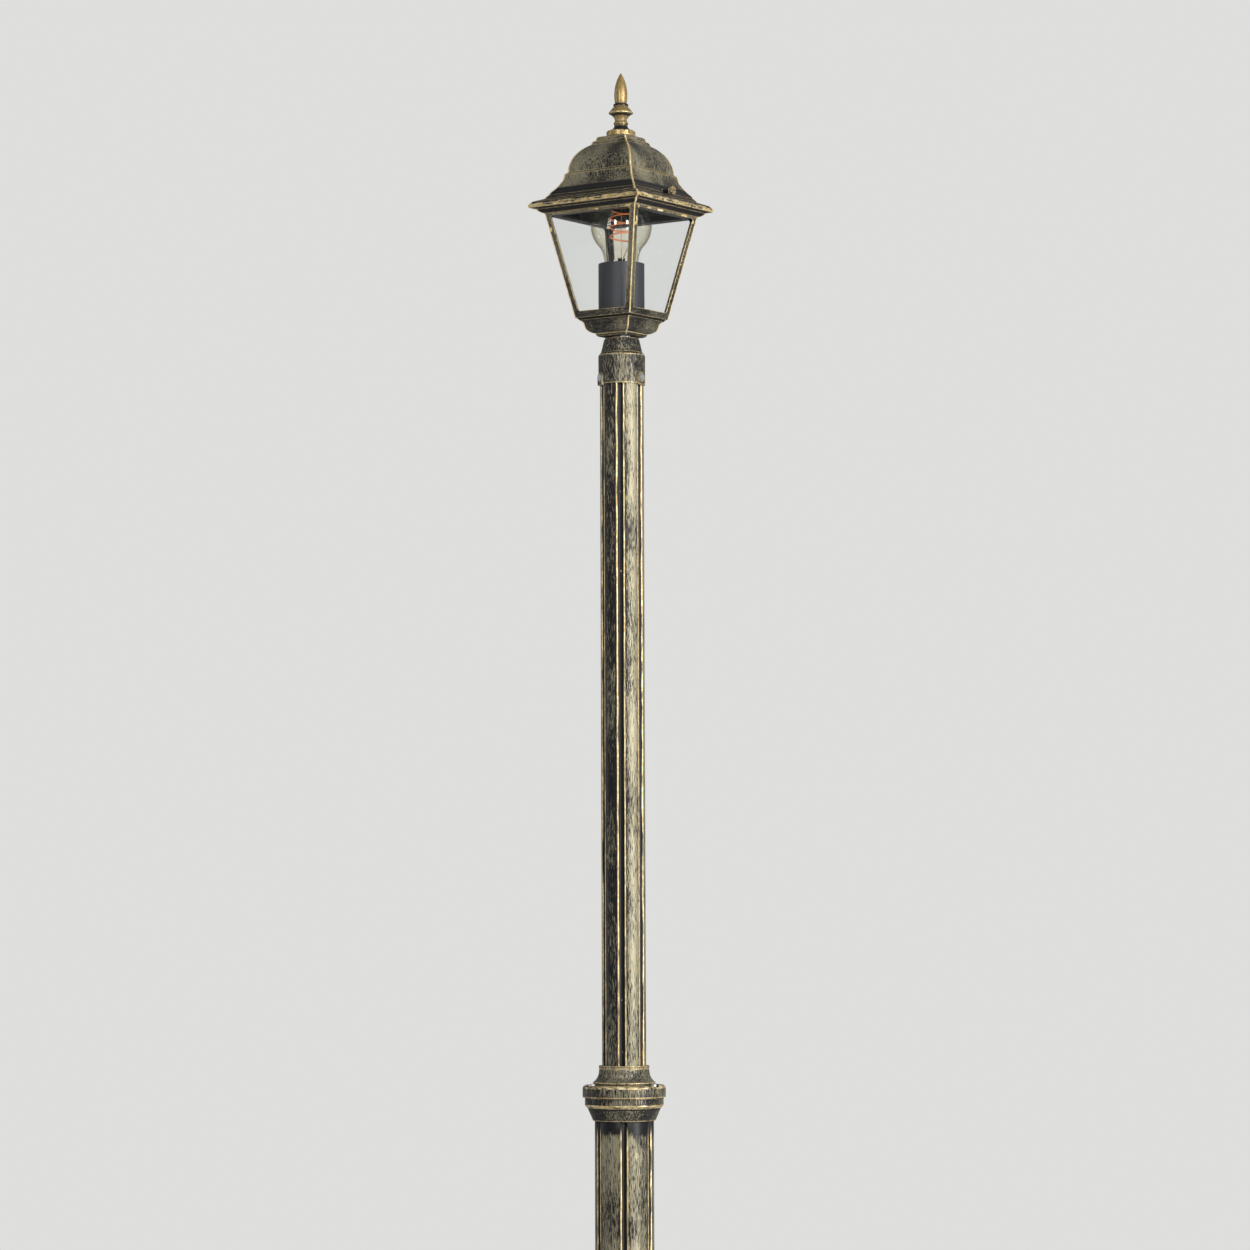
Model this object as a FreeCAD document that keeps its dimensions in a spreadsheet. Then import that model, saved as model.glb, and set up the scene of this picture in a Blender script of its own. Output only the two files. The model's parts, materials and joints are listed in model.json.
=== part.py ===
"""A garden lamp post: cast base, two fluted tubes, a square lantern with a lift-off roof, and its bulb.

Millimetres, +Z up. The origin is the centre of the base's underside, and the lantern's faces look along X and Y.
"""

import FreeCAD
import Part
import os
from math import asin, atan, cos, degrees, pi, radians, tan

import Sketcher

VECTOR = FreeCAD.Vector

# Driving dimensions. Levels are heights above the ground, and "half" is half the side of a square section.
SIZES = {
    # cast base, and how it is bolted down
    "ground": 0.0,
    "base_radius": 105.0,
    "base_height": 205.0,
    "anchor_circle": 90.0,
    "anchor_hole": 4.5,
    "socket_radius": 28.7,
    "socket_floor": 142.0,
    "socket_screw_level": 180.0,
    "socket_screw_tip": 28.6,
    "socket_screw_angle": 34.5,
    # terminals inside the base
    "bracket_level": 56.0,
    "bracket_thickness": 2.0,
    "bracket_length": 98.0,
    "bracket_width": 18.0,
    "bracket_screw_place": 43.0,
    "boss_radius": 5.0,
    "terminal_length": 36.0,
    "terminal_width": 17.0,
    "terminal_height": 16.0,
    "terminal_pitch": 11.0,
    "terminal_screw_row": 5.2,
    "block_screw_place": 5.5,
    "grommet_place": 29.0,
    "grommet_bore": 4.5,
    "earth_place": 27.0,
    "lead_radius": 3.0,
    # lower fluted tube
    "lower_radius": 28.5,
    "lower_bore": 26.3,
    "lower_groove_radius": 2.6,
    "lower_groove_centre": 28.6,
    "lower_rib_radius": 4.2,
    "lower_top": 1001.8,
    "groove_turn": 4.5,
    # upper fluted tube
    "upper_radius": 21.3,
    "upper_bore": 19.5,
    "upper_groove_radius": 3.0,
    "upper_groove_centre": 21.5,
    "upper_rib_radius": 4.4,
    "upper_bottom": 985.0,
    "upper_top": 1718.5,
    # coupling between the two tubes
    "coupling_radius": 40.2,
    "coupling_seat": 1006.0,
    "coupling_screw_circle": 34.3,
    "coupling_pocket": 5.3,
    "coupling_ear": 4.6,
    "joint_screw_head": 3.4,
    "joint_screw_shank": 2.0,
    "joint_screw_hole": 2.05,
    # collar that holds the lantern on the upper tube
    "collar_radius": 22.8,
    "collar_bottom": 1692.2,
    "collar_top": 1737.6,
    "collar_bore": 21.45,
    "lug_half_width": 5.0,
    "lug_bottom": 1691.0,
    "lug_centre": 1698.3,
    "lug_face": 23.8,
    "lug_seat": 22.8,
    "lug_well": 3.6,
    "collar_screw_level": 1698.3,
    "collar_screw_tip": 19.3,
    "collar_screw_hole": 2.05,
    # threaded stem through the lantern floor, with its nuts
    "stem_radius": 5.0,
    "stem_bore": 3.4,
    "stem_hole": 5.05,
    "stem_bottom": 1727.0,
    "stem_top": 1765.5,
    "stem_nut_corner": 9.8,
    # lantern base and cage
    "base_bottom": 1742.5,
    "base_top": 1757.3,
    "base_top_half": 30.6,
    "neck_half": 18.6,
    "cage_bottom_half": 32.6,
    "cage_top": 1859.0,
    "cage_top_half": 53.5,
    "cage_taper": 0.2055,
    "cage_wall": 1.84,
    "cage_floor": 2.0,
    "shelf_thickness": 1.8,
    "shelf_hole_half": 44.0,
    "window_bottom": 1763.5,
    "window_top": 1857.0,
    "window_bottom_half": 28.0,
    "window_top_half": 47.3,
    "window_corner": 3.0,
    "tab_outer": 44.4,
    "tab_thickness": 1.8,
    "tab_half_width": 8.0,
    "tab_top": 1880.8,
    # panes, leaning outwards like the cage
    "lean": 11.613,
    "pane_thickness": 2.0,
    "pane_bottom": 1759.8,
    "pane_height": 99.1,
    "pane_inner_place": 29.02,
    "pane_bottom_half": 28.6,
    "pane_top_half": 48.6,
    # roof, finial and cap screws
    "roof_top": 1936.5,
    "roof_top_half": 16.5,
    "finial_disc": 14.2,
    "finial_stud": 2.5,
    "cap_screw_level": 1878.0,
    "cap_screw_tip": 44.45,
    "cap_screw_shank": 2.0,
    "cap_screw_hole": 2.06,
    "cap_screw_neck": 14.55,
    "cap_screw_head": 3.9,
    "cap_screw_head_height": 3.3,
    "cap_washer_radius": 3.2,
    "cap_washer_thickness": 1.0,
    "cap_boss_radius": 3.6,
    # lampholder
    "sleeve_radius": 22.5,
    "sleeve_bore": 21.3,
    "sleeve_top": 1811.0,
    "holder_radius": 20.5,
    "holder_bottom": 1766.0,
    "holder_floor": 1771.0,
    "holder_top": 1799.0,
    "holder_bore": 14.6,
    "shell_outer": 14.3,
    "shell_bore": 13.25,
    "shell_top": 1797.0,
    "holder_screw_place": 17.2,
    # bulb
    "bulb_radius": 30.0,
    "bulb_centre": 1849.0,
    "bulb_wall": 0.9,
    "bulb_bottom": 1773.0,
    "bulb_cap_radius": 13.15,
    "filament_radius": 10.8,
    "filament_pitch": 9.0,
    "filament_bottom": 1833.0,
    "filament_height": 31.5,
    "filament_thickness": 0.8,
    "wire_radius": 0.4,
}

doc = FreeCAD.newDocument("lamp_post")
sheet = doc.addObject("Spreadsheet::Sheet", "Sizes")
for row, (alias, value) in enumerate(SIZES.items(), start=1):
    sheet.set(f"A{row}", alias)
    sheet.set(f"B{row}", str(value))
    sheet.setAlias(f"B{row}", alias)
doc.recompute()


# A size is a plain number, or a named one with an offset, ("cage_top", -2.0), or the negative of one of those.


def minus(size):
    if isinstance(size, tuple):
        alias, offset, sign = (*size, 1)[:3]
        return (alias, offset, -sign)
    return -size


def number(size):
    """The size in millimetres."""
    if not isinstance(size, tuple):
        return size
    alias, offset, sign = (*size, 1)[:3]
    return sign * (SIZES[alias] + offset)


def formula(size):
    """The size in the sheet's words."""
    if not isinstance(size, tuple):
        return str(size)
    alias, offset, sign = (*size, 1)[:3]
    return f"{sign} * (Sizes.{alias} {offset:+g})"


def bind(thing, path, size):
    """Ties a property to a size, or to a formula given as words."""
    thing.setExpression(path, size if isinstance(size, str) else formula(size))


# Sketches


def new_body(label):
    body = doc.addObject("PartDesign::Body", label)
    body.Label = label
    return body


def origin_feature(body, role):
    return next(f for f in body.Origin.OriginFeatures if f.Role == role)


def sketch_on(body, role, offset=None):
    """A sketch on one of the body's own origin planes, moved along the plane's normal by the offset."""
    sketch = body.newObject("Sketcher::SketchObject", body.Label + "_sketch")
    sketch.AttachmentSupport = [(origin_feature(body, role), "")]
    sketch.MapMode = "FlatFace"
    if offset is not None:
        bind(sketch, "AttachmentOffset.Base.z", offset)
    return sketch


def tie(sketch, constraint, size):
    """Adds a constraint, and ties its value to the sheet where the size is a named one."""
    index = sketch.addConstraint(constraint)
    if isinstance(size, tuple):
        sketch.setExpression(f"Constraints[{index}]", formula(size))


def fix_point(sketch, geometry, end, x, y):
    """Puts one point of a sketch at its place."""
    for kind, axis, size in (("DistanceX", -2, x), ("DistanceY", -1, y)):
        if abs(number(size)) < 1e-9:
            sketch.addConstraint(Sketcher.Constraint("PointOnObject", geometry, end, axis))
        else:
            tie(sketch, Sketcher.Constraint(kind, -1, 1, geometry, end, number(size)), size)


def draw_outline(sketch, corners):
    """A closed outline through corners (x, y, bulge). The bulge belongs to the run that ends at the corner: 0 or left
    out is straight, and otherwise it is the tangent of a quarter of the arc's angle, positive for an anticlockwise arc."""
    corners = [(x, y, bulge[0] if bulge else 0) for x, y, *bulge in corners]
    points = [VECTOR(number(x), number(y), 0) for x, y, _ in corners]
    ends = []
    for i, (_, _, bulge) in enumerate(corners):
        first, last = points[i - 1], points[i]
        run = last - first
        middle = (first + last) * 0.5 + VECTOR(run.y, -run.x, 0) * (bulge / 2)
        if not bulge:
            sketch.addGeometry(Part.LineSegment(first, last))
        elif bulge > 0:
            sketch.addGeometry(Part.Arc(first, middle, last))
        else:
            sketch.addGeometry(Part.Arc(last, middle, first))
        ends.append((2, 1) if bulge < 0 else (1, 2))
    for i, (x, y, bulge) in enumerate(corners):
        after = (i + 1) % len(corners)
        sketch.addConstraint(Sketcher.Constraint("Coincident", i, ends[i][1], after, ends[after][0]))
        fix_point(sketch, after, ends[after][0], x, y)
        if bulge:
            sketch.addConstraint(Sketcher.Constraint("Angle", i, 4 * atan(abs(bulge))))
    return sketch


def draw_circle(sketch, x, y, radius):
    index = sketch.addGeometry(Part.Circle(VECTOR(number(x), number(y), 0), VECTOR(0, 0, 1), number(radius)))
    tie(sketch, Sketcher.Constraint("Radius", index, number(radius)), radius)
    fix_point(sketch, index, 3, x, y)
    return sketch


def moulding(radius, level, points):
    """Outline corners from (offset from the radius, offset from the level, bulge) points. None is the axis itself."""
    return [(0.0 if out is None else (radius, out), (level, up), *bulge) for out, up, *bulge in points]


def two_sided(half_outline):
    """An outline open at the axis, with its mirror image."""
    bulges = [corner[2] if len(corner) > 2 else 0 for corner in half_outline] + [0]
    left = [(minus(corner[0]), corner[1], bulges[i + 1]) for i, corner in enumerate(half_outline)]
    return half_outline + left[::-1]


def draw_square(body, level, half):
    """A square about the axis at a level."""
    low = minus(half)
    return draw_outline(sketch_on(body, "XY_Plane", level), [(half, half), (low, half), (low, low), (half, low)])


# Features of a body


def turn(body, kind, outline):
    """A revolved solid, or a revolved cut, about the upright axis."""
    sketch = draw_outline(sketch_on(body, "XZ_Plane"), outline)
    feature = body.newObject("PartDesign::" + kind, f"{body.Label}_{kind}")
    feature.Profile = sketch
    feature.ReferenceAxis = (sketch, ["V_Axis"])
    feature.Angle = 360
    return feature


def extrude(body, kind, sketch, length, symmetric=False, reverse=False):
    """A pad or a pocket of one sketch."""
    feature = body.newObject("PartDesign::" + kind, f"{body.Label}_{kind}")
    feature.Profile = sketch
    feature.SideType = "Symmetric" if symmetric else "One side"
    feature.Reversed = reverse
    bind(feature, "Length", length)
    return feature


def repeat_round(body, feature, count):
    """Repeats a feature evenly about the upright axis."""
    doc.recompute()
    pattern = body.newObject("PartDesign::PolarPattern", body.Label + "_round")
    pattern.Originals = [feature]
    pattern.Axis = (origin_feature(body, "Z_Axis"), [""])
    pattern.Angle = 360
    pattern.Occurrences = count
    body.Tip = pattern
    return pattern


def round_feature(body, kind, circle, radius, level, depth, count=3, reverse=False):
    """Round pads or pockets evenly spaced on a circle, drawn at one level."""
    sketch = draw_circle(sketch_on(body, "XY_Plane", level), circle, 0.0, radius)
    return repeat_round(body, extrude(body, kind, sketch, depth, reverse=reverse), count)


def turned(label, outline, *cuts):
    """A lathe-turned piece: one revolved outline, less any revolved cuts."""
    body = new_body(label)
    turn(body, "Revolution", outline)
    for cut_outline in cuts:
        turn(body, "Groove", cut_outline)
    return body


# Primitives and booleans

UP = FreeCAD.Rotation()
DOWN = FreeCAD.Rotation(VECTOR(1, 0, 0), 180)
ALONG_X = FreeCAD.Rotation(VECTOR(0, 1, 0), 90)
ALONG_Y = FreeCAD.Rotation(VECTOR(1, 0, 0), -90)


def turned_by(angle, first=UP):
    """A rotation about the upright axis, after another one."""
    return FreeCAD.Rotation(VECTOR(0, 0, 1), angle) * first


def place(thing, x=0.0, y=0.0, z=0.0, rotation=UP):
    thing.Placement = FreeCAD.Placement(VECTOR(0, 0, 0), rotation)
    for axis, size in (("x", x), ("y", y), ("z", z)):
        bind(thing, f"Placement.Base.{axis}", size)
    return thing


def cylinder(label, radius, height, x=0.0, y=0.0, z=0.0, rotation=UP):
    thing = doc.addObject("Part::Cylinder", label)
    bind(thing, "Radius", radius)
    bind(thing, "Height", height)
    return place(thing, x, y, z, rotation)


def block(label, sides, low):
    """A box from its three sides and its lowest corner."""
    thing = doc.addObject("Part::Box", label)
    for name, size in zip(("Length", "Width", "Height"), sides):
        bind(thing, name, size)
    return place(thing, *low)


def hexagon(label, corner, height, x=0.0, z=0.0):
    thing = doc.addObject("Part::Prism", label)
    thing.Polygon = 6
    bind(thing, "Circumradius", corner)
    bind(thing, "Height", height)
    return place(thing, x, 0.0, z)


def fuse(label, things):
    thing = doc.addObject("Part::MultiFuse", label)
    thing.Shapes = things
    return thing


def cut(label, base, *tools):
    thing = doc.addObject("Part::Cut", label)
    thing.Base = base
    thing.Tool = tools[0] if len(tools) == 1 else fuse(label + "_tools", list(tools))
    return thing


def group(label, things):
    """Separate solids that share one node, such as a set of identical screws."""
    thing = doc.addObject("Part::Compound", label)
    thing.Links = things
    return thing


def squared(label, half_outline):
    """A moulding whose section is square at every level: the overlap of two prisms that cross at right angles."""
    width = 2 * max(number(corner[0]) for corner in half_outline) + 10
    prisms = []
    for role in ("XZ_Plane", "YZ_Plane"):
        body = new_body(f"{label}_{role[:2]}")
        sketch = draw_outline(sketch_on(body, role), two_sided(half_outline))
        extrude(body, "Pad", sketch, width, symmetric=True)
        prisms.append(body)
    common = doc.addObject("Part::MultiCommon", label)
    common.Shapes = prisms
    return common


def ring_places(circle, count, start=0.0):
    """Evenly spaced angles, each with the formulas for its place on a circle."""
    for k in range(count):
        angle = start + k * 360 / count
        yield angle, f"Sizes.{circle} * cos({angle} deg)", f"Sizes.{circle} * sin({angle} deg)"


# Fasteners, each made along +Z from its tip at the origin


def screw(label, head, head_height, shank, length):
    """A cheese-head screw with a slot a third of the head's height deep."""
    parts = [cylinder(label + "_shank", shank, length), cylinder(label + "_head", head, head_height, z=length)]
    half_slot = 0.15 * number(head)
    reach = number(head) + 1
    low = (-half_slot, -reach, number(length) + 0.65 * number(head_height))
    slot = block(label + "_slot", (2 * half_slot, 2 * reach, head_height), low)
    return cut(label, fuse(label + "_solid", parts), slot)


def grub_screw(label, radius, length, key):
    """A headless screw with a hexagon socket in its outer end."""
    return cut(label, cylinder(label + "_shank", radius, length), hexagon(label + "_key", key, length, z=0.6 * length))


def nut(label, corner, bore, level, height, x=0.0):
    alias, offset = level
    hole = cylinder(label + "_hole", bore, height + 2, x, 0.0, (alias, offset - 1))
    return cut(label, hexagon(label + "_hexagon", corner, height, x, level), hole)


def washer(label, radius, bore, level, height):
    alias, offset = level
    hole = cylinder(label + "_hole", bore, height + 2, z=(alias, offset - 1))
    return cut(label, cylinder(label + "_disc", radius, height, z=level), hole)


# The base and what it holds


def base_casting():
    """Round stepped base: a drilled flange, a plinth, a hollow ogee bell, and a collared socket for the lower tube."""
    body = new_body("base_body")
    outside = [(None, 0), (0, 0), (0, 5), (-3, 8, 0.414), (-25, 9.2), (-27, 10.8), (-27, 16), (-30, 19, 0.414)]
    outside += [(-48, 45, -0.25), (-48, 47), (-47.5, 58, 0.75), (-51, 60), (-65, 130, -0.08), (-65, 131)]
    outside += [(-65, 138, 0.7), (-67, 140), (-70.5, 160, -0.1), (-70, 167), (-67.5, 171), (-64.8, 174)]
    outside += [(-64.8, 187), (-67.3, 187), (-67.3, 194), (-70.1, 198), (-74, 205), (None, 205)]
    turn(body, "Revolution", moulding("base_radius", "ground", outside))
    hollow = [(None, -1), (-39, -1), (-39, 14), (-55, 44), (-55, 62), (-71, 128, -0.08), (-79, 136), (None, 136)]
    turn(body, "Groove", moulding("base_radius", "ground", hollow))
    socket, floor, above = ("socket_radius", 0), ("socket_floor", 0), ("base_height", 1)
    turn(body, "Groove", [(0.0, 130.0), (24.0, 130.0), (24.0, floor), (socket, floor), (socket, above), (0.0, above)])
    round_feature(body, "Pocket", ("anchor_circle", 0), ("anchor_hole", 0), 20.0, 21.0)
    boss = (("bracket_screw_place", 0), ("boss_radius", 0), ("bracket_level", SIZES["bracket_thickness"]))
    round_feature(body, "Pad", *boss, 14.0, count=2)
    hole = (("bracket_screw_place", 0), ("joint_screw_hole", 0), ("bracket_level", SIZES["bracket_thickness"] - 1))
    round_feature(body, "Pocket", *hole, 12.0, count=2, reverse=True)
    holes = []
    for angle, x, y in ring_places("socket_screw_tip", 3, SIZES["socket_screw_angle"]):
        level = ("socket_screw_level", 0)
        holes.append(cylinder("socket_hole", 3.05, 14.0, x, y, level, turned_by(angle, ALONG_X)))
    return cut("base_casting", body, *holes)


def base_set_screws():
    screws = []
    for angle, x, y in ring_places("socket_screw_tip", 3, SIZES["socket_screw_angle"]):
        one = grub_screw(f"base_set_screw_{len(screws)}", 3.0, 10.5, 1.7)
        screws.append(place(one, x, y, ("socket_screw_level", 0), turned_by(angle, ALONG_X)))
    return group("base_set_screws", screws)


def terminal_bracket():
    """Flat steel bar across the bell, drilled for its own screws, the block's screws, the earth screw and the cable."""
    sides = (("bracket_length", 0), ("bracket_width", 0), ("bracket_thickness", 0))
    low = ("-Sizes.bracket_length / 2", "-Sizes.bracket_width / 2", ("bracket_level", 0))
    places = [(("bracket_screw_place", 0), 2.2), (("block_screw_place", 0), 1.6)]
    places += [(minus(place_), radius) for place_, radius in places]
    places += [(("grommet_place", 0), 6.0), (minus(("earth_place", 0)), 2.05)]
    holes = []
    for x, radius in places:
        holes.append(cylinder("bracket_hole", radius, ("bracket_thickness", 2), x, 0.0, ("bracket_level", -1)))
    return cut("terminal_bracket", block("bracket_bar", sides, low), *holes)


def screws_under_bracket(label, place_alias, size, tip):
    """A pair of screws that come up through the bar from below."""
    screws = []
    for x in ((place_alias, 0), minus((place_alias, 0))):
        one = screw(f"{label}_{len(screws)}", *size, tip)
        screws.append(place(one, x, 0.0, ("bracket_level", tip), DOWN))
    return group(label, screws)


def terminal_block():
    """Three-way block: a wire tunnel and two screw wells for each way, and two blind holes under it."""
    sides = (("terminal_length", 0), ("terminal_width", 0), ("terminal_height", 0))
    foot = SIZES["bracket_thickness"]
    low = ("-Sizes.terminal_length / 2", "-Sizes.terminal_width / 2", ("bracket_level", foot))
    body = block("terminal_body", sides, low)
    level = ("bracket_level", foot + 8)
    cuts = []
    for way in (-1, 0, 1):
        x = f"{way} * Sizes.terminal_pitch"
        start = "-Sizes.terminal_width / 2 - 1"
        cuts.append(cylinder("terminal_tunnel", 2.2, ("terminal_width", 2), x, start, level, ALONG_Y))
        for row in (("terminal_screw_row", 0), minus(("terminal_screw_row", 0))):
            cuts.append(cylinder("terminal_well", 1.95, 9.0, x, row, level))
    for x in (("block_screw_place", 0), minus(("block_screw_place", 0))):
        cuts.append(cylinder("terminal_foot_hole", 1.55, 5.5, x, 0.0, ("bracket_level", foot - 1)))
    return cut("terminal_block", body, *cuts)


def terminal_screws():
    """Two brass screws in each way, standing in their wells above the wire."""
    screws = []
    for way in (-1, 0, 1):
        for row in (("terminal_screw_row", 0), minus(("terminal_screw_row", 0))):
            one = grub_screw(f"terminal_screw_{len(screws)}", 1.85, 4.5, 0.9)
            level = ("bracket_level", SIZES["bracket_thickness"] + 10.3)
            screws.append(place(one, f"{way} * Sizes.terminal_pitch", row, level))
    return group("terminal_screws", screws)


def earth_screw():
    return place(screw("earth_screw", 3.5, 2.4, 2.0, 12.0), minus(("earth_place", 0)), 0.0, ("bracket_level", 12), DOWN)


def cable_grommet():
    """Rubber ring whose groove the bar's edge sits in."""
    bore, waist, rim = ("grommet_bore", 0), 5.95, 8.0
    low, high = ("bracket_level", 0), ("bracket_level", SIZES["bracket_thickness"])
    under, over = ("bracket_level", -2), ("bracket_level", SIZES["bracket_thickness"] + 2)
    outline = [(bore, under), (rim, under), (rim, low), (waist, low), (waist, high), (rim, high), (rim, over), (bore, over)]
    return place(turned("cable_grommet", outline), ("grommet_place", 0))


def internal_lead():
    """The lead from the terminals, straight up the middle of the post to the lampholder."""
    bottom = SIZES["bracket_level"] + SIZES["bracket_thickness"] + SIZES["terminal_height"]
    return cylinder("internal_lead", ("lead_radius", 0), ("stem_top", -bottom), z=bottom)


# The two fluted tubes, and the coupling between them


def fluted_tube(label, name, bottom, top, start=0.0):
    """Extruded tube with six round grooves, and ribs inside that keep its wall behind them."""
    length = top - bottom
    outer = cylinder(name + "_outside", (name + "_radius", 0), length, z=bottom)
    bore = cylinder(name + "_inside", (name + "_bore", 0), length + 2, z=bottom - 1)
    grooves = []
    ribs = []
    for _, x, y in ring_places(name + "_groove_centre", 6, start):
        grooves.append(cylinder(name + "_groove", (name + "_groove_radius", 0), length + 2, x, y, bottom - 1))
        ribs.append(cylinder(name + "_rib", (name + "_rib_radius", 0), length + 4, x, y, bottom - 2))
    return cut(label, cut(name + "_fluted", outer, *grooves), cut(name + "_hollow", bore, *ribs))


def post_coupling():
    """Cup on top of the lower tube: tapered foot, bevelled band and rim, with a recess and three screw pockets."""
    seat = "coupling_seat"
    outside = [(None, -27.6), (-10.0, -27.6), (-4.6, -15.2), (-2.2, -13.0), (-2.2, -5.1), (0, -5.1), (0, 3.2)]
    outside += [(-3.4, 6.6, 0.414), (None, 6.6)]
    tube, top, way, recess = ("socket_radius", 0), ("lower_top", 0), 22.0, 33.9
    bore = [(0.0, (seat, -30)), (tube, (seat, -30)), (tube, top), (way, top), (way, (seat, 0)), (recess, (seat, 0))]
    bore += [(recess, (seat, 8)), (0.0, (seat, 8))]
    body = turned("post_coupling", moulding("coupling_radius", seat, outside), bore)
    circle = ("coupling_screw_circle", 0)
    round_feature(body, "Pocket", circle, ("coupling_pocket", 0), (seat, 8), 8.0)
    round_feature(body, "Pocket", circle, ("joint_screw_hole", 0), (seat, 1), 11.0)
    return body


def upper_collar():
    """Flared collar pressed on the upper tube: three ears under the screws, a lip, and a cone up to the tube."""
    seat = "coupling_seat"
    outside = [(None, 0), (-6.6, 0), (-6.6, 3), (-9.7, 3), (-11.0, 3.6), (-11.4, 7.4), (-9.9, 8.2), (-9.9, 9.2)]
    outside += [(-15.5, 17.2, -0.2), (-16.2, 22.4), (-15.8, 23.0), (-15.8, 25.2), (None, 25.2)]
    body = turned("upper_collar", moulding("coupling_radius", seat, outside))
    circle = ("coupling_screw_circle", 0)
    round_feature(body, "Pad", circle, ("coupling_ear", 0), (seat, 0), 4.6)
    tube = ("collar_bore", 0)
    turn(body, "Groove", [(0.0, (seat, -1)), (tube, (seat, -1)), (tube, (seat, 27)), (0.0, (seat, 27))])
    round_feature(body, "Pocket", circle, ("joint_screw_hole", 0), (seat, 6), 8.0)
    return body


def joint_screws():
    screws = []
    for angle, x, y in ring_places("coupling_screw_circle", 3):
        head, shank = ("joint_screw_head", 0), ("joint_screw_shank", 0)
        one = screw(f"joint_screw_{len(screws)}", head, 3.2, shank, 13.6)
        screws.append(place(one, x, y, ("coupling_seat", -9.0), turned_by(angle + 35)))
    return group("joint_screws", screws)


def top_collar():
    """Cap on the upper tube that carries the lantern: three drop-shaped lugs with wells for the screws, and a cone."""
    outside = [(None, 0), (0, 0), (0, 28.7), (-2.3, 31.2), (-3.6, 35.6), (-4.6, 40.3), (-5.4, 43.6)]
    outside += [(-6.3, 45.4), (None, 45.4)]
    body = turned("top_collar", moulding("collar_radius", "collar_bottom", outside))
    side, foot, corner = ("lug_half_width", 0), ("lug_bottom", 0), ("lug_bottom", 1)
    inset = ("lug_half_width", -1)
    lug = [(inset, foot), (side, corner, 0.414), (side, ("lug_centre", 0)), (minus(side), ("lug_centre", 0), 1.0)]
    lug += [(minus(side), corner), (minus(inset), foot, 0.414)]
    pad = extrude(body, "Pad", draw_outline(sketch_on(body, "YZ_Plane", 20.0), lug), ("lug_face", -20.0))
    repeat_round(body, pad, 3)
    below, tube_top, ceiling, above = ("lug_bottom", -1), ("upper_top", 0), ("collar_top", -4), ("collar_top", 1)
    tube, stem = ("collar_bore", 0), ("stem_hole", 0)
    hollow = [(0.0, below), (tube, below), (tube, tube_top), (17.2, tube_top), (12.6, ceiling), (stem, ceiling)]
    turn(body, "Groove", hollow + [(stem, above), (0.0, above)])
    hole = draw_circle(sketch_on(body, "YZ_Plane", ("lug_face", 1)), 0.0, ("collar_screw_level", 0), ("collar_screw_hole", 0))
    repeat_round(body, extrude(body, "Pocket", hole, 6.0), 3)
    well = draw_circle(sketch_on(body, "YZ_Plane", ("lug_face", 1)), 0.0, ("collar_screw_level", 0), ("lug_well", 0))
    repeat_round(body, extrude(body, "Pocket", well, ("lug_face", 1 - SIZES["lug_seat"])), 3)
    return body


def collar_screws():
    """Three slotted screws through the lugs. Their tips stand in the upper tube's grooves."""
    screws = []
    for angle, x, y in ring_places("collar_screw_tip", 3):
        one = screw(f"collar_screw_{len(screws)}", 3.3, 1.3, 2.0, ("lug_seat", -SIZES["collar_screw_tip"]))
        screws.append(place(one, x, y, ("collar_screw_level", 0), turned_by(angle, ALONG_X)))
    return group("collar_screws", screws)


# The threaded stem, and the lantern that it clamps


def lantern_stem():
    height = SIZES["stem_top"] - SIZES["stem_bottom"]
    rod = cylinder("stem_rod", ("stem_radius", 0), height, z=("stem_bottom", 0))
    return cut("lantern_stem", rod, cylinder("stem_way", ("stem_bore", 0), height + 2, z=("stem_bottom", -1)))


def lantern_base():
    """Square casting under the lantern: a recess, a lip and a cyma down to the neck. Hollow, with a hole for the stem."""
    outside = [(-12.0, 0), (-4.7, 6.1, 0.32), (-4.3, 7.8), (-1.7, 12.1, -0.25), (-0.5, 12.7), (-0.5, 13.7)]
    outside += [(0.4, 14.0), (0.4, 14.8)]
    inside = [(18.0, ("base_bottom", 3.5)), (22.5, ("base_bottom", 8)), (26.5, ("base_top", 1))]
    hole = cylinder("base_stem_hole", ("stem_hole", 0), 6.0, z=("base_bottom", -1))
    solid = squared("lantern_base_outside", moulding("base_top_half", "base_bottom", outside))
    return cut("lantern_base", solid, squared("lantern_base_inside", inside), hole)


def neck_plate():
    """Shallow square dish under the lantern base. The nut in its hollow clamps it."""
    outside = [(-4.6, -3.6), (-1.4, -2.6, 0.2), (0, 0, 0.1)]
    inside = [(12.6, ("base_bottom", -5)), (12.6, ("base_bottom", -1.5))]
    hole = cylinder("neck_stem_hole", ("stem_hole", 0), 6.0, z=("base_bottom", -4))
    solid = squared("neck_outside", moulding("neck_half", "base_bottom", outside))
    return cut("neck_plate", solid, squared("neck_inside", inside), hole)


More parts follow.
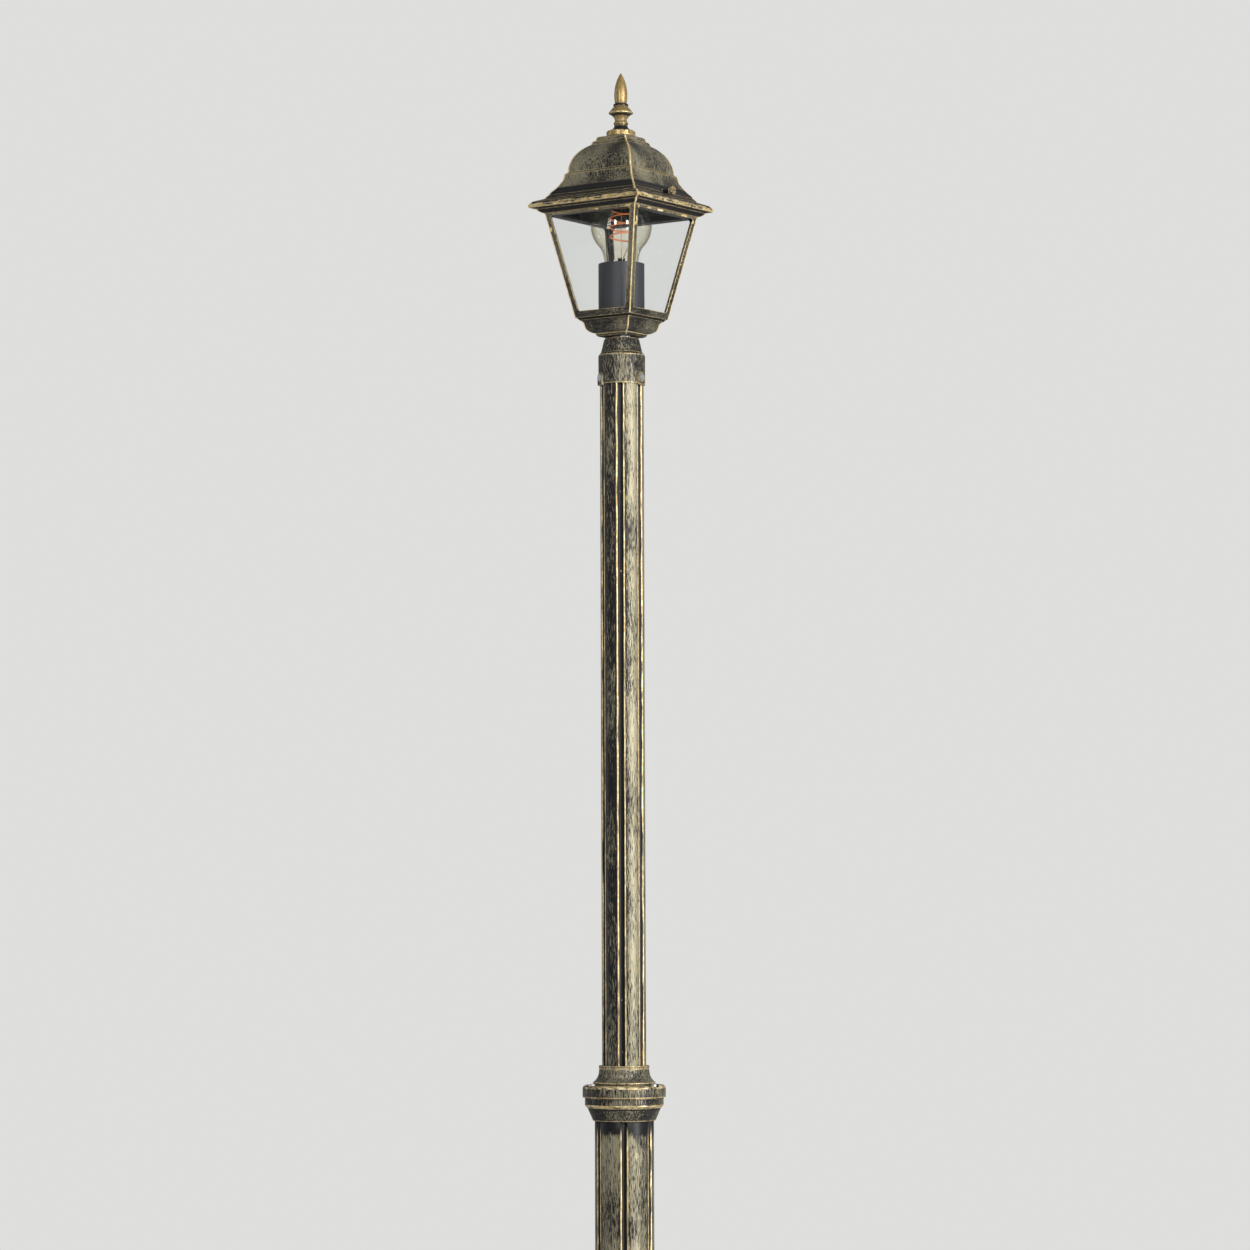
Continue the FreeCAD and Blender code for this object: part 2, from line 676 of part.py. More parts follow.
def lantern_cage():
    """Tapered four-sided frame: corner posts, rails, floor and top shelf, with two upstands for the cap screws."""
    body = new_body("lantern_cage")
    taper, wall = SIZES["cage_taper"], SIZES["cage_wall"]
    floor, shelf = SIZES["cage_floor"], SIZES["shelf_thickness"]
    lofts = [
        ("AdditiveLoft", ("base_top", 0), ("cage_bottom_half", 0), ("cage_top", 0), ("cage_top_half", 0)),
        (
            "SubtractiveLoft",
            ("base_top", floor),
            ("cage_bottom_half", floor * taper - wall),
            ("cage_top", -shelf),
            ("cage_top_half", -shelf * taper - wall),
        ),
    ]
    for kind, low, low_half, high, high_half in lofts:
        bottom, top = draw_square(body, low, low_half), draw_square(body, high, high_half)
        loft = body.newObject("PartDesign::" + kind, "cage_" + kind)
        loft.Profile = bottom
        loft.Sections = [top]
        loft.Ruled = True
    extrude(body, "Pocket", draw_square(body, ("cage_top", 1), ("shelf_hole_half", 0)), ("shelf_thickness", 2))
    window = [(("window_bottom_half", 0), ("window_bottom", 0)), (("window_top_half", 0), ("window_top", 0))]
    for role in ("YZ_Plane", "XZ_Plane"):
        sketch = draw_outline(sketch_on(body, role), two_sided(window))
        last = extrude(body, "Pocket", sketch, 4 * SIZES["cage_top_half"], symmetric=True)
    doc.recompute()
    rounded = body.newObject("PartDesign::Fillet", "window_corners")
    rounded.Base = (last, window_corner_edges(last.Shape))
    bind(rounded, "Radius", ("window_corner", 0))
    stem_hole = draw_circle(sketch_on(body, "XY_Plane", ("base_top", floor + 1)), 0.0, 0.0, ("stem_hole", 0))
    extrude(body, "Pocket", stem_hole, floor + 2)
    side, inner = ("tab_half_width", 0), ("tab_outer", -SIZES["tab_thickness"])
    tab = [(inner, minus(side)), (("tab_outer", 0), minus(side)), (("tab_outer", 0), side), (inner, side)]
    height = ("tab_top", shelf - SIZES["cage_top"])
    sketch = draw_outline(sketch_on(body, "XY_Plane", ("cage_top", -shelf)), tab)
    repeat_round(body, extrude(body, "Pad", sketch, height), 2)
    return body


def window_corner_edges(shape):
    """The short edges through the cage's wall, at the corners of its four windows."""
    names = []
    for i, edge in enumerate(shape.Edges, start=1):
        along = edge.tangentAt(edge.FirstParameter)
        level = edge.CenterOfMass.z
        in_window = SIZES["window_bottom"] - 0.5 < level < SIZES["window_top"] + 0.5
        if in_window and edge.Length < 3 and max(abs(along.x), abs(along.y)) > 0.999:
            names.append(f"Edge{i}")
    return names


def glass_pane(label, quarter):
    """A trapezoid of glass that leans outwards behind its window."""
    body = new_body(label)
    sketch = sketch_on(body, "YZ_Plane", ("pane_inner_place", 0))
    sketch.AttachmentOffset = FreeCAD.Placement(VECTOR(0, 0, 0), FreeCAD.Rotation(VECTOR(1, 0, 0), SIZES["lean"]))
    bind(sketch, "AttachmentOffset.Base.y", ("pane_bottom", 0))
    bind(sketch, "AttachmentOffset.Base.z", ("pane_inner_place", 0))
    draw_outline(sketch, two_sided([(("pane_bottom_half", 0), 0.0), (("pane_top_half", 0), ("pane_height", 0))]))
    extrude(body, "Pad", sketch, ("pane_thickness", 0))
    return place(body, rotation=turned_by(90 * quarter))


def glass_clips():
    """Four bent strips on the lantern's floor that keep the panes' lower edges against the rail."""
    clips = []
    for quarter in range(4):
        body = new_body(f"glass_clip_{quarter}")
        foot, top = ("base_top", SIZES["cage_floor"]), ("base_top", SIZES["cage_floor"] + 4.0)
        near = ("pane_inner_place", -0.25)
        outline = [(("pane_inner_place", -6), foot), (near, foot), (("pane_inner_place", 0.5), top)]
        outline += [(("pane_inner_place", -0.3), top), (("pane_inner_place", -1.0), ("base_top", SIZES["cage_floor"] + 0.8))]
        outline += [(("pane_inner_place", -6), ("base_top", SIZES["cage_floor"] + 0.8))]
        extrude(body, "Pad", draw_outline(sketch_on(body, "XZ_Plane"), outline), 26.0, symmetric=True)
        clips.append(place(body, rotation=turned_by(90 * quarter)))
    return group("glass_clips", clips)


# The lampholder


def holder_bracket():
    """Steel strap on the lantern's floor: flat under the nut, with raised ears for the lampholder's screws."""
    body = new_body("holder_bracket")
    level = "base_top"
    flat, thick = SIZES["cage_floor"], 1.5
    ear = SIZES["holder_bottom"] - SIZES["base_top"]
    half = [(13.0, (level, flat)), (14.5, (level, flat + thick)), (14.5, (level, ear - thick))]
    half += [(19.6, (level, ear - thick)), (19.6, (level, ear)), (13.0, (level, ear)), (13.0, (level, flat + thick))]
    extrude(body, "Pad", draw_outline(sketch_on(body, "XZ_Plane"), two_sided(half)), 12.0, symmetric=True)
    below = sketch_on(body, "XY_Plane", (level, flat - 1))
    draw_circle(below, 0.0, 0.0, ("stem_hole", 0))
    extrude(body, "Pocket", below, thick + 2, reverse=True)
    hole = (("holder_screw_place", 0), 1.6, (level, ear - thick - 1))
    round_feature(body, "Pocket", *hole, thick + 2, count=2, reverse=True)
    return body


def holder_screws():
    screws = []
    for x in (("holder_screw_place", 0), minus(("holder_screw_place", 0))):
        one = screw(f"holder_screw_{len(screws)}", 2.4, 1.4, 1.5, 8.0)
        screws.append(place(one, x, 0.0, ("holder_bottom", 6.5), DOWN))
    return group("holder_screws", screws)


def holder_body():
    """White ceramic cup of the lampholder, blind-drilled from below for its two screws."""
    outer, bore = ("holder_radius", 0), ("holder_bore", 0)
    low, floor, top = ("holder_bottom", 0), ("holder_floor", 0), ("holder_top", 0)
    outline = [(0.0, low), (outer, low), (outer, top), (bore, top), (bore, floor), (0.0, floor)]
    body = turned("holder_body", outline)
    hole = (("holder_screw_place", 0), 1.55, ("holder_bottom", -1))
    round_feature(body, "Pocket", *hole, 8.0, count=2, reverse=True)
    return body


def tube_piece(label, outer, bore, bottom, top):
    """A plain round tube."""
    return turned(label, [(bore, bottom), (outer, bottom), (outer, top), (bore, top)])


def holder_contact():
    """Brass spring strip on the lampholder's floor, arched up to the bulb's foot contact."""
    body = new_body("holder_contact")
    floor, peak = ("holder_floor", 0), ("bulb_bottom", -0.04)
    half = [(11.5, floor), (11.5, ("holder_floor", 0.5)), (7.5, ("holder_floor", 0.5)), (3.0, peak)]
    under = [(3.2, ("bulb_bottom", -0.54)), (7.4, floor)]
    right = under + [(11.5, floor)] + half[1:]
    left = [(minus(x), y) for x, y in right[::-1]]
    extrude(body, "Pad", draw_outline(sketch_on(body, "XZ_Plane"), right + left), 5.0, symmetric=True)
    return body


# The bulb


def round_run(radius, tip):
    """The arc of a sphere's outline, from a small flat tip down to 45 degrees below its middle."""
    start = asin(tip / radius)
    end = radius * cos(radians(45))
    return (tip, radius * cos(start)), (end, -end), tan((radians(135) - start) / 4)


def bulb_glass():
    """Round envelope: a sphere down to 45 degrees below its middle, then a neck that ends inside the cap."""
    radius = SIZES["bulb_radius"]
    (tip, top), (side, foot), bulge = round_run(radius, 0.5)
    outer = [(None, top), (tip - radius, top), (side - radius, foot, -bulge), (-13.0, -33.5, 0.13)]
    outer += [(-14.8, -43.5), (-17.6, -48.0, 0.1), (-17.6, -56)]
    (tip, top), (side, foot), bulge = round_run(radius - SIZES["bulb_wall"], 0.5)
    inner = [(-18.5, -56), (-18.5, -47.7), (-15.7, -43.2, -0.1), (-13.9, -33.3), (side - radius, foot, -0.13)]
    inner += [(tip - radius, top, bulge), (None, top)]
    return turned("bulb_glass", moulding("bulb_radius", "bulb_centre", outer + inner))


def bulb_cap():
    """Screw cap: a thin shell round the neck, narrowed to the insulator at its foot."""
    outer = [(-4.3, 2.4), (0, 6.0), (0, 27.5), (-0.6, 27.5), (-0.6, 6.3), (-4.9, 2.9)]
    return turned("bulb_cap", moulding("bulb_cap_radius", "bulb_bottom", outer))


def bulb_insulator():
    outline = [(None, 1.2), (-8.2, 1.2), (-7.8, 0.9), (-5.2, 2.2), (-4.9, 2.9), (-1.5, 5.8), (-1.5, 7.2), (None, 7.2)]
    return turned("bulb_insulator", moulding("bulb_cap_radius", "bulb_bottom", outline))


def bulb_foot_contact():
    outline = [(None, 0), (-9.0, 0), (-8.2, 0.5), (-8.2, 1.2), (None, 1.2)]
    return turned("bulb_foot_contact", moulding("bulb_cap_radius", "bulb_bottom", outline))


def bulb_stem():
    """Flared glass mount: from the neck's wall up to the pinch that holds the wires."""
    outline = [(11.3, 1793.0), (11.3, 1794.0), (4.2, 1803.5, -0.2), (3.6, 1812.0), (3.6, 1817.0), (0.0, 1817.0)]
    outline += [(0.0, 1810.0), (2.6, 1803.0), (10.4, 1793.0, 0.2)]
    return turned("bulb_stem", outline)


def wire(label, first, last):
    """A straight round wire between two points."""
    run = VECTOR(*last) - VECTOR(*first)
    rotation = FreeCAD.Rotation(VECTOR(0, 0, 1), run)
    return cylinder(label, ("wire_radius", 0), run.Length, *first, rotation)


def bulb_wires():
    """The middle rod, and the two wires that hold the filament's ends."""
    radius, bottom = SIZES["filament_radius"], SIZES["filament_bottom"]
    top = bottom + SIZES["filament_height"]
    rod = cylinder("bulb_rod", ("wire_radius", 0), top + 2 - 1817, z=1817)
    lower = wire("bulb_lower_wire", (2.4, 0, 1817.4), (radius - 0.3, 0, bottom - 1.3))
    upper = wire("bulb_upper_wire", (0.6, 0, top + 1.5), (radius - 1.6, 0, top + 1.5))
    return group("bulb_wires", [rod, lower, upper])


def bulb_filament():
    """Soft filament wound in a helix about the middle rod."""
    helix = doc.addObject("Part::Helix", "filament_helix")
    bind(helix, "Radius", ("filament_radius", 0))
    bind(helix, "Pitch", ("filament_pitch", 0))
    bind(helix, "Height", ("filament_height", 0))
    place(helix, z=("filament_bottom", 0))
    section = doc.addObject("Part::Circle", "filament_section")
    bind(section, "Radius", ("filament_thickness", 0))
    rise = degrees(atan(SIZES["filament_pitch"] / (2 * pi * SIZES["filament_radius"])))
    place(section, ("filament_radius", 0), 0.0, ("filament_bottom", 0), FreeCAD.Rotation(VECTOR(1, 0, 0), 90 + rise))
    sweep = doc.addObject("Part::Sweep", "bulb_filament")
    sweep.Sections = [section]
    sweep.Spine = (helix, [])
    sweep.Solid = True
    sweep.Frenet = True
    return sweep


# The roof, which lifts off with its finial and cap screws


def roof():
    """Square bell roof: eave with a lip, two steps, cavetto, ledge, dome and two tiers. Hollow below."""
    level = "roof_top"
    outside = [(37.3, -77.5), (38.1, -76.8), (43.1, -73.1, 0.3), (48.4, -72.1), (48.8, -71.5), (48.6, -69.1)]
    outside += [(47.4, -67.9), (46.0, -66.0), (37.3, -62.8), (36.5, -61.3), (34.4, -59.2), (34.1, -58.2)]
    outside += [(33.2, -56.6), (24.2, -43.6, -0.09), (23.2, -38.2), (20.8, -36.2), (4.9, -8.6, 0.27)]
    outside += [(3.2, -4.9), (1.1, -4.3), (1.1, -2.6), (0.0, -0.6), (-1.5, 0.0)]
    inside = [(33.8, -78.5), (33.8, -64.0), (30.8, -60.0), (30.4, -57.2), (21.4, -44.0, -0.09), (20.3, -39.0)]
    inside += [(18.0, -36.2), (3.0, -11.0, 0.27), (0.5, -7.0), (-1.5, -4.0)]
    shell = cut(
        "roof_shell",
        squared("roof_outside", moulding("roof_top_half", level, outside)),
        squared("roof_inside", moulding("roof_top_half", level, inside)),
    )
    bosses = []
    holes = [cylinder("finial_hole", 2.6, 8.0, z=(level, -6))]
    for angle in (0, 180):
        rotation = turned_by(angle, ALONG_X)
        side = 1 if angle == 0 else -1
        start, hole_start = f"{side} * (Sizes.cap_screw_tip + 0.95)", f"{side} * (Sizes.cap_screw_tip - 1)"
        bosses.append(cylinder("cap_boss", ("cap_boss_radius", 0), 2.6, start, 0.0, ("cap_screw_level", 0), rotation))
        holes.append(cylinder("cap_hole", ("cap_screw_hole", 0), 9.0, hole_start, 0.0, ("cap_screw_level", 0), rotation))
    return cut("roof", fuse("roof_solid", [shell, *bosses]), *holes)


def finial():
    """Turned finial: stud, base disc, stem with a bead, dished disc, bead, and a flame-shaped tip."""
    outline = [(None, -11), (-11.7, -11), (-11.7, 0), (-1.0, 0), (0, 1.1), (0, 5.0), (-0.8, 5.8), (-5.2, 7.4)]
    outline += [(-7.9, 11.6, -0.2), (-7.9, 15.0, 0.5), (-8.4, 17.0), (-7.5, 19.0), (-6.2, 20.6), (-2.2, 23.2, -0.15)]
    outline += [(-2.2, 24.2), (-7.4, 30.3), (-7.4, 32.8, 0.5), (-8.6, 33.4), (-7.8, 41.5, 0.06)]
    outline += [(-13.8, 63.3, 0.14), (None, 63.5)]
    return turned("finial", moulding("finial_disc", "roof_top", outline))


def cap_screw(label, angle):
    """Screw that stands off the roof's skirt; its tip bears on the cage's upstand."""
    size = (("cap_screw_head", 0), ("cap_screw_head_height", 0), ("cap_screw_shank", 0), ("cap_screw_neck", 0))
    x = f"Sizes.cap_screw_tip * cos({angle} deg)"
    return place(screw(label, *size), x, 0.0, ("cap_screw_level", 0), turned_by(angle, ALONG_X))


def cap_washer(label, angle):
    """Nylon washer under the cap screw's head."""
    start = ("cap_screw_neck", -SIZES["cap_washer_thickness"])
    disc = cylinder(label + "_disc", ("cap_washer_radius", 0), ("cap_washer_thickness", 0), z=start)
    ring = cut(label, disc, cylinder(label + "_hole", ("cap_screw_hole", 0), 4.0, z=("cap_screw_neck", -2.5)))
    x = f"Sizes.cap_screw_tip * cos({angle} deg)"
    return place(ring, x, 0.0, ("cap_screw_level", 0), turned_by(angle, ALONG_X))


SUBPARTS = [
    base_casting(),
    base_set_screws(),
    terminal_bracket(),
    screws_under_bracket("bracket_screws", "bracket_screw_place", (3.5, 2.4, 2.0), 12.0),
    terminal_block(),
    terminal_screws(),
    screws_under_bracket("block_screws", "block_screw_place", (2.7, 1.8, 1.5), 6.0),
    earth_screw(),
    nut("earth_nut", 4.0, 2.05, ("bracket_level", SIZES["bracket_thickness"]), 3.0, minus(("earth_place", 0))),
    cable_grommet(),
    internal_lead(),
    fluted_tube("lower_post", "lower", SIZES["socket_floor"], SIZES["lower_top"], SIZES["groove_turn"]),
    post_coupling(),
    upper_collar(),
    joint_screws(),
    fluted_tube("upper_post", "upper", SIZES["upper_bottom"], SIZES["upper_top"]),
    top_collar(),
    collar_screws(),
    lantern_stem(),
    nut("stem_nut_lower", ("stem_nut_corner", 0), ("stem_hole", 0), ("collar_top", -9), 5.0),
    nut("stem_nut_middle", ("stem_nut_corner", 0), ("stem_hole", 0), ("collar_top", 0), 3.4),
    washer("stem_washer", 9.0, ("stem_hole", 0), ("base_top", SIZES["cage_floor"] + 1.5), 1.0),
    nut("stem_nut_upper", 9.0, ("stem_hole", 0), ("base_top", SIZES["cage_floor"] + 2.5), 2.7),
    neck_plate(),
    lantern_base(),
    lantern_cage(),
    glass_pane("glass_right", 0),
    glass_pane("glass_back", 1),
    glass_pane("glass_left", 2),
    glass_pane("glass_front", 3),
    glass_clips(),
    holder_bracket(),
    holder_screws(),
    holder_body(),
    tube_piece("holder_shell", ("shell_outer", 0), ("shell_bore", 0), ("holder_floor", 0), ("shell_top", 0)),
    holder_contact(),
    tube_piece(
        "holder_sleeve", ("sleeve_radius", 0), ("sleeve_bore", 0), ("base_top", SIZES["cage_floor"]), ("sleeve_top", 0)
    ),
    bulb_foot_contact(),
    bulb_insulator(),
    bulb_cap(),
    bulb_glass(),
    bulb_stem(),
    bulb_wires(),
    bulb_filament(),
    roof(),
    finial(),
    washer("finial_washer", 6.0, 2.6, ("roof_top", -5.0), 1.0),
    nut("finial_nut", 4.6, 2.55, ("roof_top", -9.0), 4.0),
    cap_screw("cap_screw_right", 0),
    cap_washer("cap_washer_right", 0),
    cap_screw("cap_screw_left", 180),
    cap_washer("cap_washer_left", 180),
]

doc.recompute()
faults = [f"{thing.Label}: {thing.State}" for thing in doc.Objects if {"Invalid", "Error"} & set(thing.State)]
for piece in SUBPARTS:
    if piece.Shape.isNull() or not piece.Shape.isValid() or not piece.Shape.Solids:
        faults.append(f"{piece.Label}: the shape is empty or not valid")
if faults:
    raise SystemExit("\n".join(faults))

os.makedirs("parts", exist_ok=True)
for piece in SUBPARTS:
    piece.Shape.exportStep(f"parts/{piece.Label}.step")
print(len(SUBPARTS), "pieces,", round(sum(piece.Shape.Volume for piece in SUBPARTS) / 1000), "cm3")
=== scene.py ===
"""Looks for the garden lamp post: brushed-gold-on-black castings, fluted tubes, glass and the bulb inside."""

import json
from math import atan2, cos, pi, radians, sin, tan, tau

import bpy
import bmesh
from mathutils import Euler, Matrix, Vector


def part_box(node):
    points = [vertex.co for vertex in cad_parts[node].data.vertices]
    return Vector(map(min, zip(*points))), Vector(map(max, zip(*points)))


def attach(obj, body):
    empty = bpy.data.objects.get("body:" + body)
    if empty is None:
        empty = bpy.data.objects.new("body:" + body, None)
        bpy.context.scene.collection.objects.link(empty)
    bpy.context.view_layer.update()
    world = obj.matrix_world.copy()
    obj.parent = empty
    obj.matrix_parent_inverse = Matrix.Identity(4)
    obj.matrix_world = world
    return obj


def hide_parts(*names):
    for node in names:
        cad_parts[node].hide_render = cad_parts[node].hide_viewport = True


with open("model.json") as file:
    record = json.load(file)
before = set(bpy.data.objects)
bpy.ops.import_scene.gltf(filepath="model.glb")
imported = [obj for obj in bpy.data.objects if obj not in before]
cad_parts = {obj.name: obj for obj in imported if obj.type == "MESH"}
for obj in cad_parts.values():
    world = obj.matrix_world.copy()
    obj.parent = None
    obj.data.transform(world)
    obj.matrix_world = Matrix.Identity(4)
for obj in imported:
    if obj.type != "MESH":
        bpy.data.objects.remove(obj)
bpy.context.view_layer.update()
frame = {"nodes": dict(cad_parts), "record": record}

MM = 0.001

# Linear colours
BLACK = (0.006, 0.0055, 0.0065, 1)
BLACK_WORN = (0.016, 0.015, 0.015, 1)
GOLD_DULL = (0.27, 0.225, 0.115, 1)
GOLD_GREY = (0.40, 0.375, 0.285, 1)
GOLD_DEEP = (0.27, 0.180, 0.064, 1)
GOLD_SOFT = (0.40, 0.285, 0.120, 1)
GOLD = (0.68, 0.47, 0.18, 1)
GOLD_PALE = (0.90, 0.75, 0.45, 1)

# Width of a brush stroke, in millimetres
BRISTLE = 0.75

# Heights at which the brushwork changes, and of the bands of painted shadow, in metres
SKIRT_TOP = 1.885
EAVE_LIP = (1.8645, 1.8688)
BLOTS_FROM = 1.838
RAIL_SHADOW = (1.7554, 1.7572)
CUP_RIMS = ((0.9907, 0.9938), (1.0095, 1.0130))
CUP_SHADOW = (0.9893, 0.9905)

# Round grooves in a fluted tube
GROOVES = 6


class Shader:
    """One material's node tree, with short calls for the nodes that it needs."""

    def __init__(self, name):
        self.material = bpy.data.materials.new(name)
        self.material.use_nodes = True
        self.tree = self.material.node_tree
        self.tree.nodes.clear()
        self.output = self.tree.nodes.new("ShaderNodeOutputMaterial")
        self.place = self.node("TexCoord").outputs["Object"]

    def node(self, kind, inputs=None, **settings):
        made = self.tree.nodes.new("ShaderNode" + kind)
        for name, value in settings.items():
            setattr(made, name, value)
        for name, value in (inputs or {}).items():
            if isinstance(value, bpy.types.NodeSocket):
                self.tree.links.new(value, made.inputs[name])
            else:
                made.inputs[name].default_value = value
        return made

    def math(self, operation, first, second=0.0, clamp=False):
        made = self.node("Math", {0: first, 1: second}, operation=operation, use_clamp=clamp)
        return made.outputs[0]

    def step(self, value, low, high):
        """0 below low, 1 above high, and smooth between."""
        inputs = {"Value": value, "From Min": low, "From Max": high}
        return self.node("MapRange", inputs, interpolation_type="SMOOTHSTEP").outputs["Result"]

    def band(self, value, rise, fall):
        """1 between two steps, of which the first goes up and the second comes down."""
        return self.math("MULTIPLY", self.step(value, *rise), self.step(value, *fall))

    def blend(self, factor, first, second):
        made = self.node("Mix", {"Factor": factor, 6: first, 7: second}, data_type="RGBA")
        return made.outputs[2]

    def blend_value(self, factor, first, second):
        made = self.node("Mix", {"Factor": factor, 2: first, 3: second}, data_type="FLOAT")
        return made.outputs[0]

    def stretched(self, stretch):
        """The object's own coordinates in millimetres, stretched so that marks run along an axis."""
        scale = [1000 * share for share in stretch]
        return self.node("Mapping", {"Vector": self.place, "Scale": scale}).outputs["Vector"]

    def noise(self, size, stretch=(1, 1, 1), detail=3.0, roughness=0.55):
        """Noise whose marks are about size millimetres across."""
        inputs = {
            "Vector": self.stretched(stretch),
            "Scale": 1 / size,
            "Detail": detail,
            "Roughness": roughness,
        }
        return self.node("TexNoise", inputs).outputs["Fac"]

    def bump(self, height, depth, rounded=None):
        """A normal from a height of 0 to 1 that stands for depth millimetres, on edges rounded by so many."""
        inputs = {"Height": height, "Distance": depth * MM}
        if rounded:
            inputs["Normal"] = self.node("Bevel", {"Radius": rounded * MM}, samples=4).outputs["Normal"]
        return self.node("Bump", inputs).outputs["Normal"]

    def principled(self, **inputs):
        named = {name.replace("_", " "): value for name, value in inputs.items()}
        made = self.node("BsdfPrincipled", named)
        self.finish(made.outputs["BSDF"])
        return self.material

    def finish(self, surface):
        self.tree.links.new(surface, self.output.inputs["Surface"])
        return self.material

    def edges(self, radius):
        """1 on the outward edges, and 0 on flats and in corners."""
        faint, full = 0.008, 0.055
        bevel = self.node("Bevel", {"Radius": radius * MM}, samples=4).outputs["Normal"]
        normal = self.node("NewGeometry").outputs["Normal"]
        same = self.node("VectorMath", {0: bevel, 1: normal}, operation="DOT_PRODUCT").outputs["Value"]
        turned = self.step(self.math("SUBTRACT", 1.0, same), faint, full)
        return self.math("MULTIPLY", turned, self.open_air(3.0))

    def off_axis(self):
        """The level vector from the post's axis to the surface."""
        return self.node("VectorMath", {0: self.place, 1: (1, 1, 0)}, operation="MULTIPLY").outputs["Vector"]

    def from_axis(self):
        """How far out from the post's axis the surface is."""
        return self.node("VectorMath", {0: self.off_axis()}, operation="LENGTH").outputs["Value"]

    def around(self):
        """The angle round the post's axis."""
        flat = self.node("SeparateXYZ", {"Vector": self.place}).outputs
        return self.math("ARCTAN2", flat["Y"], flat["X"])

    def ridges(self, width):
        """1 on a strip, in millimetres, along each corner of a square piece that stands on the axis."""
        flat = self.node("VectorMath", {0: self.place}, operation="ABSOLUTE").outputs["Vector"]
        plan = self.node("SeparateXYZ", {"Vector": flat}).outputs
        off = self.math("ABSOLUTE", self.math("SUBTRACT", plan["X"], plan["Y"]))
        return self.step(off, (width / 2 + 0.25) * MM, (width / 2 - 0.25) * MM)

    def outward(self):
        """1 on faces that a brush reaches from outside: those that look away from the axis, or upwards."""
        normal = self.node("NewGeometry").outputs["Normal"]
        away = self.node("VectorMath", {0: self.off_axis()}, operation="NORMALIZE").outputs["Vector"]
        facing = self.node("VectorMath", {0: away, 1: normal}, operation="DOT_PRODUCT").outputs["Value"]
        up = self.node("SeparateXYZ", {"Vector": normal}).outputs["Z"]
        return self.step(self.math("MAXIMUM", facing, up), -0.05, 0.15)

    def height(self):
        return self.node("SeparateXYZ", {"Vector": self.place}).outputs["Z"]

    def open_air(self, reach, low=0.55, high=0.85):
        """1 where the surface is open to the air, and 0 deep in a corner or a groove."""
        shade = self.node("AmbientOcclusion", {"Distance": reach * MM}, samples=4, only_local=True)
        return self.step(shade.outputs["AO"], low, high)


class Flutes:
    """A fluted tube's section, in millimetres and degrees: grooves in its outside, and ribs in its bore."""

    def __init__(self, radius, groove, centre, bore, rib, start):
        self.radius, self.groove, self.centre = radius, groove, centre
        self.bore, self.rib, self.start = bore, rib, radians(start)


LOWER_FLUTES = Flutes(28.5, 2.6, 28.6, 26.3, 4.2, 4.5)
UPPER_FLUTES = Flutes(21.3, 3.0, 21.5, 19.5, 4.4, 0.0)


def dragged(s, size, stretch, cover):
    """How much paint a dry brush left, in strokes about size millimetres wide. cover may be a socket."""
    threshold = s.math("SUBTRACT", 0.63, s.math("MULTIPLY", cover, 0.26))
    above = s.math("SUBTRACT", s.noise(size, stretch, 6.0, 0.72), threshold)
    return s.step(above, -0.04, 0.08)


